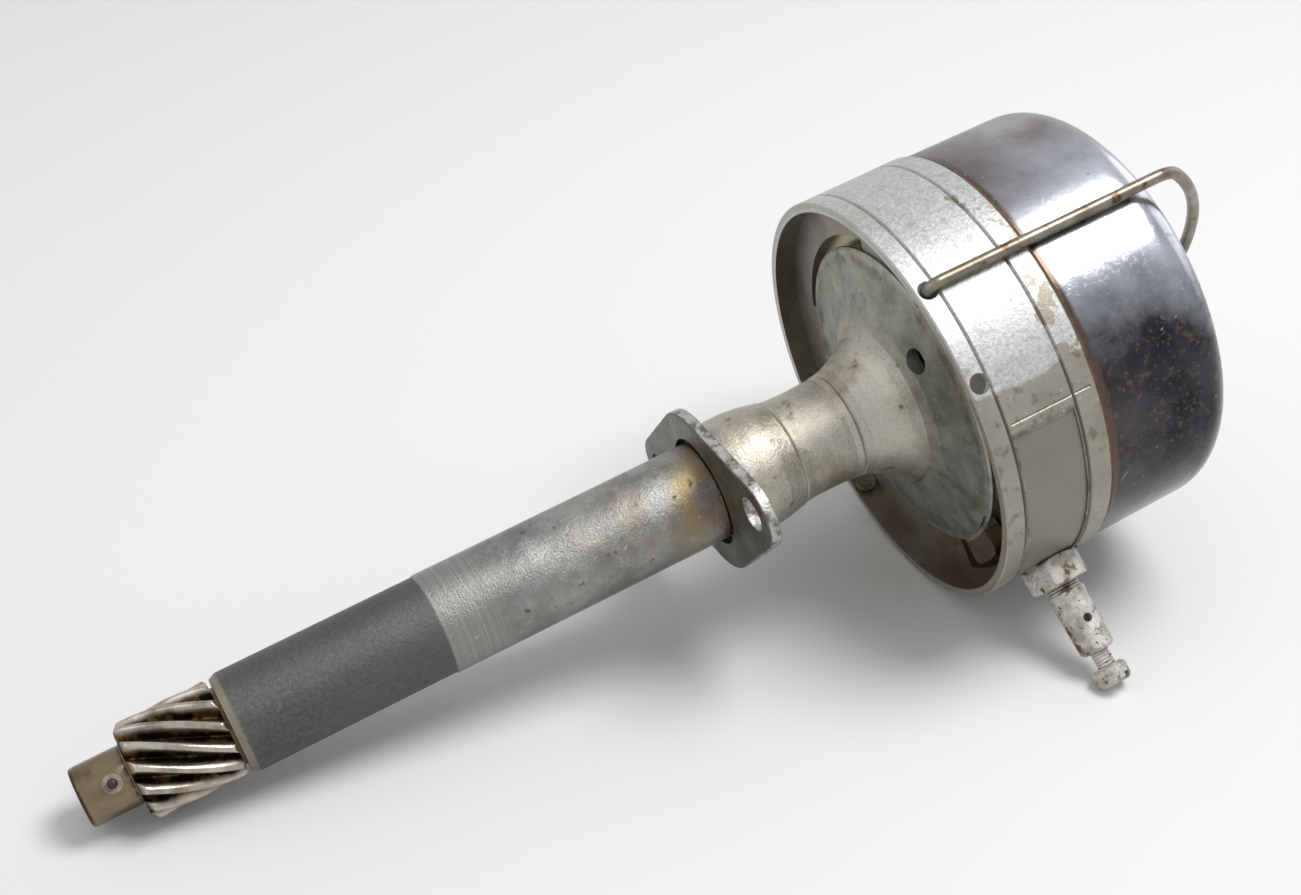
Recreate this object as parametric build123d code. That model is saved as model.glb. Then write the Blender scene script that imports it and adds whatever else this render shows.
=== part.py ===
"""Ignition distributor of the breaker-point timer kind: a long drive stem with a skew gear,
a contact-breaker head that turns on it for timing, and a domed cover held by a wire bail.

Frame: +Z runs up the shaft towards the cover, the origin is on the shaft axis in the lower
face of the clamp plate, and the clamp plate's two bolts lie on the X axis. Millimetres.
"""
from math import cos, degrees, radians, sin, tan
import os

from build123d import *

os.makedirs("parts", exist_ok=True)

# Driving dimensions. Every other number below hangs on these.
STEM_R = 8.95          # stem that fits the engine's bore
STEM_END = -88.35      # lower end face of the stem
STEM_STEP = -51.8      # where the dark lower part meets the machined upper part
SHAFT_R = 4.0          # drive shaft
GEAR_R = 8.4           # over the gear's teeth
GEAR_TEETH = 12
HELIX = 31.5           # degrees at the teeth's tips, right-hand
GEAR_LOW, GEAR_TOP = -105.3, -88.95
HUB_END = -114.1       # end of the collar under the gear
RING_R = 38.0          # contact-breaker housing
RING_LOW, RING_TOP = 36.2, 57.2
DOME_R = RING_R - 0.5  # drawn cover
DOME_TOP = 90.8
BAIL_AZ = -38.6        # azimuth of the bail's front pivot hole
BAIL_Z = RING_LOW + 2.2
BAIL_TOP = 100.4       # highest point of the wire's centre line
POST_AZ = 64.0         # azimuth of the control-cable post
POST_Z = 48.9
CLAMP_T = 1.9          # clamp plate
RUN = 0.05             # running clearance, on the radius or on a face

# Positions that follow from them.
CHAMBER_R = RING_R - 3.0
FLOOR_LOW = RING_LOW + 4.2
FLOOR_TOP = FLOOR_LOW + 2.2
JOURNAL_R = 27.4       # flange's seat in the head's floor
RETAIN_R = JOURNAL_R - 3.4
LEDGE_R = CHAMBER_R - 3.1
PLATE_SCREW_R = CHAMBER_R - 1.8
FLANGE_TOP = FLOOR_TOP + RUN
LEDGE_Z = FLOOR_TOP + 3.4
PLATE_TOP = LEDGE_Z + 1.4
RETAINER_TOP = FLANGE_TOP + 1.6
BEARING_R = SHAFT_R + 1.6
CAM_LOW, CAM_TOP = PLATE_TOP + 1.6, PLATE_TOP + 9.1
CAM_LOBE, CAM_BASE = 7.0, 6.1
WORKS_TURN = -90.0     # azimuth of the rubbing block's side of the works


def export(shape, node):
    """One node, one file."""
    shape.label = node
    export_step(shape, "parts/" + node + ".step")


def ring_of(outer, inner, low, high):
    """Plain ring or washer about the shaft axis."""
    return Pos(0, 0, low) * extrude(Circle(outer) - Circle(inner), high - low)


def rod(radius, low, high):
    """Plain cylinder about the shaft axis."""
    return Pos(0, 0, low) * extrude(Circle(radius), high - low)


def turned(*profile):
    """Solid of revolution from (radius, height) corners, in order."""
    outline = Plane.XZ * make_face(Polyline(*profile, close=True))
    return revolve(outline, Axis.Z)


def radial(shape, azimuth, height=0.0):
    """Turn a shape built along +Z so that it points outwards at an azimuth and height."""
    return Rot(0, 0, azimuth) * Pos(0, 0, height) * Rot(0, 90, 0) * shape


def works(shape):
    """Turn a shape drawn with its rubbing side on +X into its place in the head."""
    return Rot(0, 0, WORKS_TURN) * shape


def hexagon(across_flats, thickness):
    """Hexagon prism with its corners turned off at both ends."""
    corner = across_flats / cos(radians(30)) / 2
    body = extrude(RegularPolygon(corner, 6), thickness)
    edge = corner - across_flats / 2
    turning = turned((0, 0), (corner - edge, 0), (corner, edge * 0.6), (corner, thickness - edge * 0.6),
                     (corner - edge, thickness), (0, thickness))
    return body & turning


def screw(shank_r, shank_len, head_r, head_t):
    """Slotted cheese-head screw: the head's underside is z = 0 and the shank points to -Z."""
    body = rod(shank_r, -shank_len, 0) + rod(head_r, 0, head_t)
    body = chamfer(body.edges().filter_by(GeomType.CIRCLE).sort_by(Axis.Z)[-1], head_t * 0.18)
    slot = Pos(0, 0, head_t) * Box(head_r * 3, head_r * 0.36, head_t * 0.9)
    return body - slot


def threaded(radius, low, high, pitch):
    """Stud whose thread is drawn as close grooves."""
    count = round((high - low) / pitch)
    step = (high - low) / count
    profile = [(0, low)]
    for turn in range(count):
        base = low + turn * step
        profile += [(radius * 0.86, base), (radius, base + step * 0.35), (radius, base + step * 0.65)]
    profile += [(radius * 0.86, high), (0, high)]
    return turned(*profile)


# ---- Stem and its bearings --------------------------------------------------------------

# The stem is one casting: spigot, belly, neck and the round flange that the head turns on.
outside = [
    (0, STEM_END), (STEM_R - 0.8, STEM_END), (STEM_R - 0.2, STEM_END + 1.3),
    (STEM_R - 0.2, STEM_STEP), (STEM_R, STEM_STEP + 0.2), (STEM_R, 0),
    (STEM_R - 1.15, 0), (STEM_R - 1.15, CLAMP_T + RUN), (10.2, CLAMP_T + RUN),
    (10.65, 3.2), (10.85, 5.5), (10.85, 8.6), (10.55, 11.4), (9.95, 14.2), (9.85, 14.8),
    (9.4, 15.1), (9.6, 15.4), (9.4, 17.0), (9.35, 21.0), (9.5, 25.4), (9.7, 26.5),
    (9.4, 26.8), (9.75, 27.1), (10.1, 28.6), (10.9, 30.6), (12.0, 32.8), (13.3, 34.8),
    (14.9, 36.3), (17.0, 37.4), (20.0, 38.3), (24.0, 39.1), (JOURNAL_R + 0.5, FLOOR_LOW - 0.75),
    (JOURNAL_R + 0.9, FLOOR_LOW - 0.45), (JOURNAL_R + 0.9, FLOOR_LOW - RUN),
    (JOURNAL_R, FLOOR_LOW - RUN), (JOURNAL_R, FLANGE_TOP), (0, FLANGE_TOP)]
stem = turned(*outside)
stem -= rod(BEARING_R + 0.6, -66.0, 22.0)
stem -= rod(BEARING_R, STEM_END - 1, FLANGE_TOP + 1)
stem -= ring_of(JOURNAL_R - 9.4, BEARING_R + 3.0, FLOOR_LOW - 0.6, FLANGE_TOP + 1)
# Stop lobe: it rides in the slot of the head's floor and limits the timing.
lobe_low, lobe_high = FLOOR_LOW - 1.1, FLOOR_TOP - 0.4
lobe = ring_of(JOURNAL_R + 5.6, JOURNAL_R - 1.0, lobe_low, lobe_high)
wedge = make_face(Polyline((0, 0), (60 * cos(radians(54)), 60 * sin(radians(54))),
                           (60 * cos(radians(64)), 60 * sin(radians(64))),
                           (60 * cos(radians(74)), 60 * sin(radians(74))), close=True))
lobe &= Pos(0, 0, lobe_low) * extrude(wedge, lobe_high - lobe_low)
lobe = fillet(lobe.edges().filter_by(Axis.Z).sort_by(lambda e: e.center().X ** 2 + e.center().Y ** 2)[-2:], 1.6)
stem += lobe
# Raised pad on the flange's face, running out to the lobe.
pad = turned((15.2, 35.9), (17.0, 36.7), (20.0, 37.6), (24.0, 38.4), (JOURNAL_R + 0.3, 38.9),
             (JOURNAL_R + 0.3, FLOOR_LOW - 0.2), (15.2, FLOOR_LOW - 0.2))
sector = make_face(Polyline((0, 0), (60 * cos(radians(46)), 60 * sin(radians(46))),
                            (66 * cos(radians(63)), 66 * sin(radians(63))),
                            (60 * cos(radians(80)), 60 * sin(radians(80))), close=True))
stem += pad & (Pos(0, 0, 30) * extrude(sector, 12))
stem -= Pos(18.9 * cos(radians(-30.3)), 18.9 * sin(radians(-30.3)), 30) * Cylinder(2.3, 40)
for turn in range(3):
    spot = Rot(0, 0, 20 + 120 * turn) * Pos(RETAIN_R, 0, FLANGE_TOP - 1.6)
    stem -= spot * Cylinder(1.2, 3.2)
export(stem, "stem_housing")

lower_bush = ring_of(BEARING_R, SHAFT_R + RUN, STEM_END, -68.0)
upper_bush = ring_of(BEARING_R, SHAFT_R + RUN, 24.0, FLANGE_TOP + 1.2)
upper_bush += ring_of(BEARING_R + 1.9, SHAFT_R + RUN, FLANGE_TOP, FLANGE_TOP + 1.2)
export(lower_bush, "lower_bushing")
export(upper_bush, "upper_bushing")

seal = ring_of(STEM_R - 0.15, STEM_R - 1.15, 0.25, CLAMP_T - 0.2)
export(seal, "stem_seal_ring")

# The retainer traps the head's floor between itself and the flange's lip.
retainer = ring_of(JOURNAL_R + 3.6, JOURNAL_R - 7.4, FLANGE_TOP, RETAINER_TOP)
for turn in range(3):
    retainer -= Rot(0, 0, 20 + 120 * turn) * Pos(RETAIN_R, 0, RETAINER_TOP) * Cylinder(1.2, 6)
export(retainer, "retaining_ring")
for turn in range(3):
    fixing = Rot(0, 0, 20 + 120 * turn) * Pos(RETAIN_R, 0, RETAINER_TOP) * Rot(0, 0, 35 * turn)
    export(fixing * screw(1.2, 4.6, 2.2, 1.1), "retaining_screw_" + str(turn + 1))

# ---- Drive shaft, gear and cam ----------------------------------------------------------

shaft = rod(SHAFT_R, HUB_END + 0.2, FLANGE_TOP + 1.2 + RUN)
shaft += rod(SHAFT_R - 0.5, FLANGE_TOP, CAM_TOP)
shaft = chamfer(shaft.edges().sort_by(Axis.Z)[0], 0.6)
shaft -= rod(2.0, CAM_TOP - 9, CAM_TOP + 1)
pin_place = Rot(0, 0, -18.0) * Pos(0, 0, -108.5) * Rot(0, 90, 0)
shaft -= pin_place * Cylinder(1.6, 30)
export(shaft, "drive_shaft")

# Right-hand skew gear: one gap outline, twisted along the shaft, repeated round the blank.
root_r = GEAR_R - 2.3
lead_turn = degrees(tan(radians(HELIX)) / GEAR_R) * (GEAR_TOP - GEAR_LOW)
teeth = []
for tooth in range(GEAR_TEETH):
    middle = tooth * 360 / GEAR_TEETH
    for radius, offset in ((root_r, -9.6), (GEAR_R - 0.5, -5.6), (GEAR_R, -4.2),
                           (GEAR_R, 4.2), (GEAR_R - 0.5, 5.6), (root_r, 9.6)):
        angle = radians(middle + offset)
        teeth.append((radius * cos(angle), radius * sin(angle)))
section = make_face(Polyline(*teeth, close=True))
gear = Solid.extrude_linear_with_rotation(section.face(), (0, 0, 0), (0, 0, GEAR_TOP - GEAR_LOW), lead_turn)
gear = Pos(0, 0, GEAR_LOW) * Rot(0, 0, 2.6) * gear
gear &= turned((0, GEAR_LOW), (GEAR_R - 1.1, GEAR_LOW), (GEAR_R, GEAR_LOW + 0.9), (GEAR_R, GEAR_TOP - 0.6),
               (GEAR_R - 0.6, GEAR_TOP), (0, GEAR_TOP))
hub = turned((0, HUB_END), (4.65, HUB_END), (5.25, HUB_END + 0.6), (5.25, GEAR_LOW + 0.1), (0, GEAR_LOW + 0.1))
gear = gear + hub - rod(SHAFT_R, HUB_END - 1, GEAR_TOP + 1) - pin_place * Cylinder(1.6, 30)
export(gear, "drive_gear")

pin = pin_place * (Cylinder(1.6, 10.4) - Cylinder(0.85, 12))
export(pin, "gear_pin")
export(ring_of(6.8, SHAFT_R, GEAR_TOP, STEM_END - RUN), "thrust_washer")
circlip = ring_of(5.4, SHAFT_R - 0.5, FLANGE_TOP + 1.2 + RUN, FLANGE_TOP + 1.9)
circlip -= Pos(5, 0, FLANGE_TOP + 1.5) * Box(6, 3.0, 3)
export(circlip, "shaft_circlip")

# Two-lobe cam, so the points open twice in each turn of the shaft.
lobes = []
for step in range(24):
    angle = radians(step * 15)
    radius = (CAM_LOBE + CAM_BASE) / 2 + (CAM_LOBE - CAM_BASE) / 2 * cos(2 * angle)
    lobes.append((radius * cos(angle), radius * sin(angle)))
cam = Pos(0, 0, CAM_LOW) * extrude(make_face(Spline(*lobes, periodic=True)), CAM_TOP - CAM_LOW)
cam += rod(5.2, FLANGE_TOP + 1.9, CAM_LOW)
cam -= rod(SHAFT_R - 0.5, 0, CAM_TOP + 1)
export(cam, "breaker_cam")
export(Pos(0, 0, CAM_TOP) * screw(2.0, 8.0, 3.8, 2.0), "cam_screw")

# ---- Clamp plate ------------------------------------------------------------------------

ends = Pos(21.5, 0) * Circle(6.3) + Pos(-21.5, 0) * Circle(6.3) + Circle(14.8)
clamp = extrude(make_hull(ends.edges()), CLAMP_T)
clamp = chamfer(clamp.edges().group_by(Axis.Z)[0], 0.25)
clamp -= Cylinder(10.0, 20)
clamp -= Pos(21.5, 0, 0) * Cylinder(3.25, 20)
clamp -= Pos(-21.5, 0, 0) * Cylinder(3.25, 20)
export(clamp, "clamp_plate")

# ---- Head ring --------------------------------------------------------------------------

groove = 0.35
low_groove, high_groove = RING_LOW + 3.75, RING_LOW + 16.6
skin = [(RING_R - 1.7, RING_LOW), (RING_R - 0.3, RING_LOW), (RING_R, RING_LOW + 0.3)]
for centre in (low_groove, high_groove):
    skin += [(RING_R, centre - groove), (RING_R - 0.45, centre), (RING_R, centre + groove)]
skin += [(RING_R, RING_TOP - 0.3), (RING_R - 0.3, RING_TOP), (RING_R - 1.45, RING_TOP),
         (RING_R - 1.45, RING_TOP + 3.8), (CHAMBER_R, RING_TOP + 3.8), (CHAMBER_R, LEDGE_Z),
         (LEDGE_R, LEDGE_Z), (LEDGE_R, FLOOR_TOP), (JOURNAL_R + RUN, FLOOR_TOP),
         (JOURNAL_R + RUN, FLOOR_LOW), (RING_R - 1.7, FLOOR_LOW)]
ring = turned(*skin)


def slot_in_floor(outer, start, end):
    """Arc-shaped cut through the head's floor, between two azimuths."""
    cut = ring_of(outer, JOURNAL_R - 1, FLOOR_LOW - 1, FLOOR_TOP + 1)
    corners = [(0, 0)]
    for step in range(5):
        angle = radians(start + (end - start) * step / 4)
        corners.append((60 * cos(angle), 60 * sin(angle)))
    return cut & (Pos(0, 0, FLOOR_LOW - 1) * extrude(make_face(Polyline(*corners, close=True)), 6))


ring -= slot_in_floor(JOURNAL_R + 6.8, 34.0, 84.0)
ring -= slot_in_floor(JOURNAL_R + 3.0, -152.0, -80.0)
# Recessed band beside the scribe line.
band = ring_of(RING_R + 1, RING_R - 0.3, low_groove + 0.6, high_groove - 0.6)
corners = [(0, 0)]
for step in range(9):
    angle = radians(4.0 + 92.0 * step / 8)
    corners.append((60 * cos(angle), 60 * sin(angle)))
ring -= band & (Pos(0, 0, RING_LOW) * extrude(make_face(Polyline(*corners, close=True)), 20))
for azimuth, low, high in ((0.2, RING_LOW + 4.6, RING_TOP - 1.0),):
    mark = Pos(RING_R, 0, (low + high) / 2) * Rot(0, 0, 45) * Box(0.35, 0.35, high - low)
    ring -= Rot(0, 0, azimuth) * mark
for azimuth in (BAIL_AZ, BAIL_AZ + 180):
    pivot = turned((0, -8), (1.1, -8), (1.1, -0.8), (1.75, 0), (1.75, 2), (0, 2))
    ring -= radial(Pos(0, 0, RING_R) * pivot, azimuth, BAIL_Z)
ring -= radial(Pos(0, 0, RING_R - 2) * Cylinder(1.75, 8), -12.5, RING_LOW + 2.15)
ring -= radial(Pos(0, 0, RING_R - 2) * Cylinder(2.6, 8), POST_AZ, POST_Z)
ring -= radial(rod(5.8, RING_R - 0.45, RING_R + 3), POST_AZ, POST_Z)
TERMINAL_AZ, TERMINAL_Z = -152.0, PLATE_TOP + 3.4
ring -= radial(Pos(0, 0, RING_R - 2) * Cylinder(2.7, 8), TERMINAL_AZ, TERMINAL_Z)
ring -= radial(rod(4.6, RING_R - 0.4, RING_R + 3), TERMINAL_AZ, TERMINAL_Z)
ring -= radial(rod(3.1, CHAMBER_R - 5, CHAMBER_R + 0.2), TERMINAL_AZ, TERMINAL_Z)
PLATE_SCREWS = (20.0, 140.0, 260.0)
for azimuth in PLATE_SCREWS:
    ring -= works(Rot(0, 0, azimuth) * Pos(PLATE_SCREW_R, 0, LEDGE_Z - 1.2) * Cylinder(0.9, 2.4))
export(ring, "head_ring")

# ---- Breaker works, drawn with the rubbing block on +X ----------------------------------

plate = ring_of(CHAMBER_R - 0.15, 13.0, LEDGE_Z, PLATE_TOP)
PIVOT, ANCHOR = (12.5, -17.0), (20.6, -21.5)
LOCK, ECCENTRIC = (1.0, 18.0), (9.5, 21.0)
STRAP_FOOT = (-28.4, 0.0)
for x, y, radius in ((*PIVOT, 1.2), (*LOCK, 1.0), (*ECCENTRIC, 1.2), (*STRAP_FOOT, 1.0)):
    plate -= Pos(x, y, PLATE_TOP) * Cylinder(radius, 6)
for azimuth in PLATE_SCREWS:
    plate -= Rot(0, 0, azimuth) * Pos(PLATE_SCREW_R, 0, PLATE_TOP) * Cylinder(0.9, 6)
export(works(plate), "breaker_plate")
for index, azimuth in enumerate(PLATE_SCREWS):
    place = Rot(0, 0, azimuth) * Pos(PLATE_SCREW_R, 0, PLATE_TOP) * Rot(0, 0, 40 * index)
    export(works(place * screw(0.9, 3.7, 1.5, 0.9)), "plate_screw_" + str(index + 1))

post = Pos(*PIVOT, PLATE_TOP) * (rod(1.2, -1.4, 0) + rod(3.2, 0, 2.7) + rod(2.0, 2.7, 9.6))
export(works(post), "lever_pivot")
clip = Pos(*PIVOT, PLATE_TOP + 8.4) * (rod(3.2, 0, 0.6) - rod(2.0, -1, 2) - Pos(2.5, 0, 0) * Box(3, 2, 3))
export(works(clip), "pivot_clip")

# Breaker lever: rest is the top of a lobe, where the points stand 0.4 mm open.
LEVER_LOW, LEVER_HIGH = PLATE_TOP + 2.7 + RUN, PLATE_TOP + 8.3
ARM_LOW, ARM_HIGH = PLATE_TOP + 3.6, PLATE_TOP + 6.6
BLOCK_FACE = CAM_LOBE + RUN
arm = Pos(BLOCK_FACE + 4.45, -1.0, (ARM_LOW + ARM_HIGH) / 2) * Box(2.6, 32.0, ARM_HIGH - ARM_LOW)
arm = fillet(arm.edges().filter_by(Axis.Z), 0.5)
arm += Pos(*PIVOT, LEVER_LOW) * rod(3.6, 0, LEVER_HIGH - LEVER_LOW)
arm -= Pos(*PIVOT, LEVER_LOW) * rod(2.0 + RUN, -1, 12)
export(works(arm), "breaker_lever")
block = Pos(BLOCK_FACE + 1.575, 0, (ARM_LOW + ARM_HIGH) / 2) * Box(3.15, 3.6, 4.6)
block = fillet(block.edges().filter_by(Axis.Z).sort_by(Axis.X)[:2], 0.8)
export(works(block), "rubbing_block")
contact_z = (ARM_LOW + ARM_HIGH) / 2
moving = Pos(BLOCK_FACE + 3.15, 12.2, contact_z) * Rot(0, -90, 0) * rod(1.8, 0, 0.9)
export(works(moving), "moving_contact")
spring_path = Polyline((BLOCK_FACE + 5.92, 8.0), (BLOCK_FACE + 5.92, -8.5), (16.45, -15.5),
                       (17.3, -19.0), (18.9, -20.0), (18.9, -23.4))
leaf = Pos(0, 0, contact_z - 1.2) * extrude(trace(spring_path, 0.34), 2.4)
export(works(leaf), "lever_spring")

bracket = Pos(3.4, 17.3, PLATE_TOP + 0.6) * Box(16.0, 12.0, 1.2)
bracket -= Pos(10.2, 12.4, PLATE_TOP + 0.6) * Box(5.0, 5.0, 3)
bracket = fillet(bracket.edges().filter_by(Axis.Z), 0.8)
bracket += Pos(6.95, 13.2, PLATE_TOP + 4.4) * Box(1.5, 3.8, 7.6)
slot_cut = Pos(*LOCK, PLATE_TOP) * (Box(2.0, 3.0, 6) + Pos(0, 1.5, 0) * Cylinder(1.0, 6) + Pos(0, -1.5, 0) * Cylinder(1.0, 6))
bracket = bracket - slot_cut - Pos(*ECCENTRIC, PLATE_TOP) * Cylinder(1.2, 6)
export(works(bracket), "fixed_contact_bracket")
fixed = Pos(7.7, 12.2, contact_z) * Rot(0, 90, 0) * rod(1.8, 0, BLOCK_FACE + 2.25 - 0.4 - 7.7)
export(works(fixed), "fixed_contact")
export(works(Pos(*LOCK, PLATE_TOP + 1.2) * screw(1.0, 2.6, 2.2, 1.4)), "contact_lock_screw")
export(works(Pos(*ECCENTRIC, PLATE_TOP + 1.2) * screw(1.2, 2.6, 1.9, 1.2)), "gap_adjusting_screw")

# Condenser lying on the plate, its strap and its lead.
CON_X, CON_R = -20.0, 5.5
con_z = PLATE_TOP + CON_R + RUN
can = Pos(CON_X, 0, con_z) * Rot(90, 0, 0) * Cylinder(CON_R, 19)
can = fillet(can.edges().filter_by(GeomType.CIRCLE), 0.8)
can += Pos(CON_X, -10.3, con_z) * Rot(90, 0, 0) * Cylinder(1.6, 1.8)
export(works(can), "condenser")
strap = Pos(CON_X, 0, con_z) * Rot(90, 0, 0) * (Cylinder(CON_R + 0.5, 5) - Cylinder(CON_R, 7))
strap = strap & (Pos(CON_X, 0, con_z + 5) * Box(30, 8, 12.0))
strap += Pos(CON_X - CON_R - 0.25, 0, (con_z + PLATE_TOP) / 2) * Box(0.5, 5, con_z - PLATE_TOP)
strap += Pos(-28.2, 0, PLATE_TOP + 0.3) * Box(5.9, 5, 0.6)
strap -= Pos(*STRAP_FOOT, PLATE_TOP) * Cylinder(1.0, 6)
export(works(strap), "condenser_strap")
export(works(Pos(*STRAP_FOOT, PLATE_TOP + 0.6) * screw(1.0, 2.0, 1.9, 1.2)), "strap_screw")
anchor = Pos(*ANCHOR, PLATE_TOP + 4.0) * Box(2.8, 5.0, 8.0)
anchor = fillet(anchor.edges().filter_by(Axis.Z), 0.5)
export(works(anchor), "spring_anchor")
lead_line = Spline((CON_X, -11.3, con_z), (-16.5, -18.5, con_z + 0.8), (-4.0, -25.0, con_z + 2.0),
                   (9.0, -25.8, con_z + 3.0), (20.2, -23.0, PLATE_TOP + 8.82))
lead = sweep(Plane(lead_line @ 0, z_dir=lead_line % 0) * Circle(0.8), lead_line)
export(works(lead), "condenser_lead")

# Low-tension terminal through the housing wall, on the side away from the control post.
stud = threaded(2.0, RING_R - 1.8, RING_R + 6.9, 0.7) + rod(2.0, RING_R - 7.7, RING_R - 1.4)
stud += rod(1.5, RING_R + 6.8, RING_R + 9.5)
export(radial(stud, TERMINAL_AZ, TERMINAL_Z), "terminal_stud")
bush = rod(2.7, CHAMBER_R - 0.2, RING_R - 0.4) + rod(4.4, RING_R - 0.4, RING_R + 0.9)
bush += rod(3.0, CHAMBER_R - 0.8, CHAMBER_R + 0.2)
bush -= rod(2.0, 0, 60)
export(radial(bush, TERMINAL_AZ, TERMINAL_Z), "terminal_insulator")
inner_nut = Pos(0, 0, CHAMBER_R - 3.4) * hexagon(5.2, 2.6) - rod(2.0, 0, 60)
export(radial(inner_nut, TERMINAL_AZ, TERMINAL_Z), "terminal_inner_nut")
for index, low in enumerate((RING_R + 0.9, RING_R + 4.1)):
    nut = Pos(0, 0, low) * Rot(0, 0, 17 * index) * hexagon(6.4, 2.6) - rod(2.0, 0, 60)
    export(radial(nut, TERMINAL_AZ, TERMINAL_Z), "terminal_nut_" + str(index + 1))
washer = rod(3.6, RING_R + 3.5, RING_R + 4.1) - rod(2.0, 0, 60)
export(radial(washer, TERMINAL_AZ, TERMINAL_Z), "terminal_washer")
strip_path = Polyline((12.1, -29.06), (18.6, -25.6), (20.6, -25.2), (20.6, -24.0))
strip = Pos(0, 0, TERMINAL_Z - 2.6) * extrude(trace(strip_path, 0.5), 5.2)
strip = works(strip) - radial(rod(2.0, 0, 60), TERMINAL_AZ, TERMINAL_Z)
export(strip, "terminal_strip")

# ---- Control post and its clamp screw ---------------------------------------------------

control = Pos(0, 0, RING_R - 0.45) * hexagon(10.0, 4.9)
control += rod(2.6, CHAMBER_R + 0.3, RING_R)
control += threaded(3.0, RING_R + 4.3, RING_R + 5.8, 0.5)
control += Pos(0, 0, RING_R) * turned((0, 5.5), (2.9, 5.5), (3.4, 6.0), (3.15, 16.9), (2.6, 17.5), (0, 17.5))
control -= Pos(0, 0, RING_R + 11.5) * Rot(90, 0, 0) * Cylinder(0.8, 20)
control -= rod(1.7, RING_R + 12.6, RING_R + 22)
export(radial(control, POST_AZ, POST_Z), "control_post")
grip = threaded(1.7, RING_R + 12.8, RING_R + 20.4, 0.6)
head = Pos(0, 0, RING_R) * turned((0, 20.4), (2.5, 20.4), (3.15, 20.9), (3.15, 23.2), (2.6, 23.8), (0, 23.8))
grip = grip + head - Pos(0, 0, RING_R + 23.8) * Rot(0, 0, 62) * Box(8, 1.1, 2.4)
export(radial(grip, POST_AZ, POST_Z), "post_clamp_screw")

# ---- Cover, gasket and bail -------------------------------------------------------------

export(ring_of(DOME_R + 0.1, RING_R - 1.45, RING_TOP, RING_TOP + 0.5), "cover_gasket")


def dome(wall_r, corner_r, crown_r, top, mouth):
    """Revolved cup: straight wall, round corner and shallow crown."""
    corner_x = wall_r - corner_r
    rise = ((crown_r - corner_r) ** 2 - corner_x ** 2) ** 0.5
    corner_z = top - crown_r + rise
    meet = (corner_x / (crown_r - corner_r), rise / (crown_r - corner_r))
    halfway = ((1 + meet[0]) / 2, meet[1] / 2)
    size = (halfway[0] ** 2 + halfway[1] ** 2) ** 0.5
    middle = (corner_x + corner_r * halfway[0] / size, corner_z + corner_r * halfway[1] / size)
    crown_start = (crown_r * meet[0], top - crown_r + crown_r * meet[1])
    outline = [
        Line((0, mouth), (wall_r + 0.2, mouth)), Line((wall_r + 0.2, mouth), (wall_r, corner_z)),
        ThreePointArc((wall_r, corner_z), middle, crown_start),
        ThreePointArc(crown_start, (crown_r * sin(0.2), top - crown_r + crown_r * cos(0.2)), (0, top)),
        Line((0, top), (0, mouth))]
    return revolve(Plane.XZ * make_face(outline), Axis.Z)


mouth_z = RING_TOP + 0.5
cover = dome(DOME_R - 0.2, 7.0, 80.0, DOME_TOP, mouth_z)
cover -= dome(DOME_R - 1.0, 6.2, 79.2, DOME_TOP - 0.8, mouth_z)
export(cover, "cover")

# Bail: in through the wall, up both sides and bowed over the crown.
WIRE_R, BOW_R, BEND = 1.05, 60.0, 6.0
LEG, LEG_IN = RING_R + WIRE_R + 0.25, CHAMBER_R - 0.4
top = BAIL_TOP - BAIL_Z
corner = LEG - BEND
rise = ((BOW_R - BEND) ** 2 - corner ** 2) ** 0.5
bend_z = top - BOW_R + rise
tx, tz = corner / (BOW_R - BEND), rise / (BOW_R - BEND)
hx, hz = (1 + tx) / 2, tz / 2
size = (hx ** 2 + hz ** 2) ** 0.5
path = Line((LEG_IN, 0), (LEG - 1.9, 0))
path += ThreePointArc((LEG - 1.9, 0), (LEG - 1.9 + 1.9 * sin(radians(45)), 1.9 - 1.9 * cos(radians(45))), (LEG, 1.9))
path += Line((LEG, 1.9), (LEG, bend_z))
path += ThreePointArc((LEG, bend_z), (corner + BEND * hx / size, bend_z + BEND * hz / size),
                      (BOW_R * tx, top - BOW_R + BOW_R * tz))
path += ThreePointArc((BOW_R * tx, top - BOW_R + BOW_R * tz),
                      (BOW_R * sin(0.27), top - BOW_R + BOW_R * cos(0.27)), (0, top))
half = sweep(Plane.YZ * Pos(0, 0, LEG_IN) * Circle(WIRE_R), Plane.XZ * path)
half += Pos(LEG_IN + 0.75, 0, 0) * Rot(0, 90, 0) * Cylinder(1.9, 1.0)
bail = half + mirror(half, Plane.YZ)
export(Rot(0, 0, BAIL_AZ) * Pos(0, 0, BAIL_Z) * bail, "cover_bail")
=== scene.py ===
"""Looks of the ignition distributor, built piece by piece in the order it goes together.

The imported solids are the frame: each section dresses its own nodes, and some pieces are drawn
again as finer surfaces in the same place. Lengths are in metres, +Z runs up the shaft.
"""

import bmesh
import bpy
import numpy as np
from mathutils import Matrix


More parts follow.
